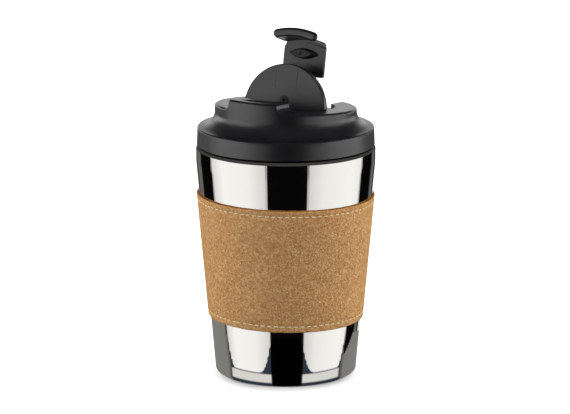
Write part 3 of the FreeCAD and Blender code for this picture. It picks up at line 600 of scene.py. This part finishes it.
def make_glowing_reflection_cards():
    """Glowing sheet laid round the cup, painted as white and black cards: it paints the reflections in the
    steel and the black plastic. Reflections show it, and nothing else does.
    """
    deselect_all()
    bpy.ops.mesh.primitive_circle_add(vertices=128, radius=FLOOR_RADIUS, fill_type="NGON",
                                      location=(0, 0, FLOOR_GAP))
    cards = bpy.context.object
    cards.name = "glowing_reflection_cards"
    made, tree, light = glow_material("cards_glowing_painted_reflections", 1.08)
    place = add(tree, "ShaderNodeTexCoord").outputs["Object"]
    across = (math.cos(CAMERA_TURN), math.sin(CAMERA_TURN), 0)
    forward = (math.sin(CAMERA_TURN), -math.cos(CAMERA_TURN), 0)
    u, v = [add(tree, "ShaderNodeVectorMath", {"operation": "DOT_PRODUCT"}, i0=place,
                i1=way).outputs["Value"] for way in (across, forward)]
    angle = maths(tree, "ARCTAN2", u, v)
    reach = add(tree, "ShaderNodeVectorMath", {"operation": "LENGTH"}, i0=place).outputs["Value"]
    curve = maths(tree, "ADD", 1.0, maths(tree, "DIVIDE", -CARD_BEND, reach))
    angle = maths(tree, "DIVIDE", angle, curve)
    turn = add(tree, "ShaderNodeMapRange", None, Value=angle, From_Min=-math.pi, From_Max=math.pi,
               To_Min=0.0, To_Max=1.0).outputs[0]

    def at(degrees):
        return (degrees + 180) / 360

    # painted reflections: the white sectors paint the side softboxes, which no reflection shows, and the
    # black sectors the dark gaps between them
    grey, black, white = 0.13, 0.002, 1.0
    far = ramp(tree, turn, [(at(-180), 0.7), (at(-168), 0.9), (at(-166), black), (at(-160), black),
                            (at(-156), grey), (at(-142), grey), (at(-139), black), (at(-112), black),
                            (at(-109), 0.76), (at(-90), white), (at(-50), 0.95), (at(-26), 0.72),
                            (at(-24), black), (at(28), black), (at(30), 0.7), (at(50), 0.9),
                            (at(95), white), (at(113), 0.9), (at(115), black), (at(143), black),
                            (at(147), grey), (at(156), grey), (at(160), black), (at(166), black),
                            (at(168), 0.9), (at(180), 0.7)])
    span = ramp(tree, turn, [(at(-112), 1.0), (at(-98), 0.0), (at(-50), 0.0), (at(-24), 1.0),
                             (at(26), 1.0), (at(54), 0.0), (at(100), 0.0), (at(114), 1.0),
                             (at(117), 0.65), (at(142), 1.0)])
    bow = maths(tree, "POWER", span, 3.0)
    near_edge = maths(tree, "MULTIPLY_ADD", bow, CARD_BOW, CARD_RADIUS)
    left_side = ramp(tree, turn, [(at(-118), 0.09), (at(-114), 0.0)])
    near_edge = maths(tree, "ADD", near_edge, left_side)
    beyond = maths(tree, "SUBTRACT", reach, near_edge)
    outside = add(tree, "ShaderNodeMapRange", None, Value=beyond, From_Min=-0.0006,
                  From_Max=0.0006).outputs[0]
    # near the foot the sheet paints shade in dim blue-grey, crossed in the side sectors by a pale painted
    # band
    strip = ramp(tree, maths(tree, "MULTIPLY", reach, 10.0),
                 [(0.368, 0.0), (0.38, 0.9), (0.445, 0.9), (0.455, 0.0)])
    sector = ramp(tree, turn, [(at(-111), 0.0), (at(-107), 1.0), (at(-26), 1.0), (at(-24), 0.0),
                               (at(28), 0.0), (at(30), 1.0), (at(104), 1.0), (at(109), 0.0)])
    strip = maths(tree, "MULTIPLY", strip, sector)
    painted_shade_near_foot = ramp(tree, turn, [(at(-120), "#80807D"), (at(-108), "#2C333C"), (at(-26), "#2F3844"),
                            (at(-24), "#020203"), (at(28), "#020203"), (at(30), "#2F3844"),
                            (at(108), "#2C333C"), (at(120), "#80807D")])
    near = add(tree, "ShaderNodeMixRGB", None, Fac=strip, Color1=painted_shade_near_foot,
               Color2=(0.8, 0.8, 0.78, 1)).outputs[0]
    shown = add(tree, "ShaderNodeMixRGB", None, Fac=outside, Color1=near, Color2=far).outputs[0]
    tree.links.new(shown, light.inputs["Color"])
    cards.data.materials.append(made)
    for ray in ("visible_camera", "visible_diffuse", "visible_shadow", "visible_transmission",
                "visible_volume_scatter"):
        setattr(cards, ray, False)


def make_light(name, turn, distance, height, size, power, aim, only=None):
    """Area light. With a collection in only, it lights those pieces alone; without, no gloss shows it."""
    data = bpy.data.lights.new(name, "AREA")
    data.shape = "RECTANGLE"
    data.size, data.size_y = size
    data.energy = power
    lamp = bpy.data.objects.new(name, data)
    lamp.location = towards(turn, distance, height)
    lamp.rotation_euler = (Vector(aim) - lamp.location).to_track_quat("-Z", "Y").to_euler()
    lamp.visible_camera = False
    if only:
        lamp.light_linking.receiver_collection = only
    else:
        lamp.visible_glossy = False
    bpy.context.scene.collection.objects.link(lamp)


def make_studio():
    """Floor, the glowing cards that paint the reflections, soft lights for the whole cup, and weak ones for
    the black pieces' highlights.
    """
    make_floor()
    make_glowing_reflection_cards()
    black_parts = bpy.data.collections.new("black_parts")
    for name in ("lid_cap", "flap_disc", "latch_head", "drink_plug", "vent_plug"):
        black_parts.objects.link(bpy.data.objects[name + "_finished"])
    middle = (0, 0, 0.12)
    make_light("softbox_left", math.radians(-70), 1.0, 0.55, (1.3, 1.1), 20.5, middle)
    make_light("softbox_right", math.radians(74), 1.0, 0.55, (1.3, 1.1), 22, middle)
    make_light("strip_left", math.radians(-76), 1.0, 0.2, (1.0, 0.4), 1.75, middle, black_parts)
    make_light("strip_right", math.radians(80), 1.0, 0.2, (1.0, 0.4), 1.6, middle, black_parts)
    make_light("rim_left", math.radians(-128), 1.2, 0.12, (0.9, 0.3), 1.8, middle, black_parts)
    make_light("rim_right", math.radians(122), 1.2, 0.1, (0.9, 0.3), 1.4, middle, black_parts)
    make_light("softbox_rear", math.radians(180), 1.3, 0.7, (1.4, 1.0), 20, middle)
    make_light("softbox_back", math.radians(180), 1.6, 0.35, (2.0, 0.5), 3.9, middle, black_parts)
    world = bpy.data.worlds.new("studio_air")
    bpy.context.scene.world = world
    world.use_nodes = True
    world.node_tree.nodes["Background"].inputs["Color"].default_value = (0.9, 0.9, 0.9, 1)
    world.node_tree.nodes["Background"].inputs["Strength"].default_value = 0.06
    bpy.context.scene.view_settings.view_transform = "Standard"


def make_camera():
    """Long lens that looks down at the cup from CAMERA_TURN round from its front."""
    data = bpy.data.cameras.new("camera")
    data.sensor_width = 36
    data.lens = LENS
    data.shift_x = -0.001403509
    data.clip_start, data.clip_end = 0.1, 50
    camera = bpy.data.objects.new("camera", data)
    camera.location = towards(0, 1.5, 0.4254)
    down = Vector((0, 0, math.sin(CAMERA_DROP)))
    ahead = -towards(0, 1, 0) * math.cos(CAMERA_DROP) - down
    camera.rotation_euler = ahead.to_track_quat("-Z", "Y").to_euler()
    bpy.context.scene.collection.objects.link(camera)
    bpy.context.scene.camera = camera


make_camera()
make_shell()
make_hidden_steel()
make_cork_band()
make_lining()
make_stitching()
make_lid()
make_flap()
make_studio()
